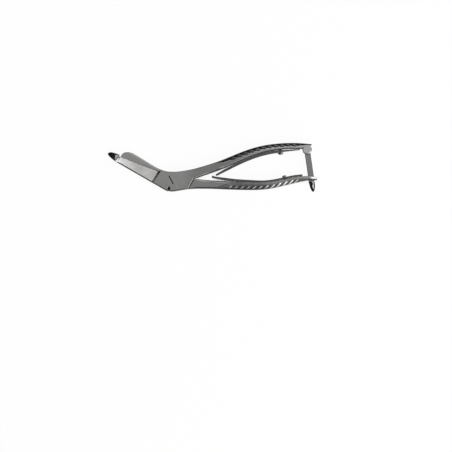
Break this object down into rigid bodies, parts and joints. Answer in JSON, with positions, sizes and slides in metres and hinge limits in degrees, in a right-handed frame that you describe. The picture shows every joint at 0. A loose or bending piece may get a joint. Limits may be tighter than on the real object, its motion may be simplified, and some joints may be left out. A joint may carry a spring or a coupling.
{
  "type": "plaster shears",
  "caption": "Angled steel shears for cutting plaster casts, with fluted spring handles, a blunt lower probe blade and a swinging catch bar across the handle ends.",
  "frame": {"origin": "on the axis of the joint screw, in the plane of the rear face that the closed shears lie on", "axes": "+X along the handles from the joint screw to the catch, +Y across them from the lower to the upper handle, +Z out of the front face with the screw head"},
  "size_m": [0.2386, 0.0557, 0.008],
  "materials": {
    "satin_steel": "satin, worn, with fine scratches",
    "spring_steel": "darker satin",
    "bright_steel": "polished"
  },
  "bodies": {
    "front": {"upper_half": "satin_steel", "upper_spring": "spring_steel", "upper_spring_screw": "bright_steel", "catch_rivet": "bright_steel"},
    "rear": {"lower_half": "satin_steel", "lower_spring": "spring_steel", "lower_spring_screw": "bright_steel", "joint_screw": "satin_steel"},
    "catch": {"catch_bar": "satin_steel"}
  },
  "joints": [
    {"name": "blade_pivot", "type": "hinge", "parent": "front", "child": "rear", "pos_m": [0, 0, 0], "axis": [0, 0, -1], "range_deg": [0, 25], "deforming": ["upper_spring", "lower_spring"]},
    {"name": "catch_swing", "type": "hinge", "parent": "front", "child": "catch", "pos_m": [0.1544, 0.03436, 0], "axis": [0, 0, 1], "range_deg": [-1.8, 90]}
  ]
}
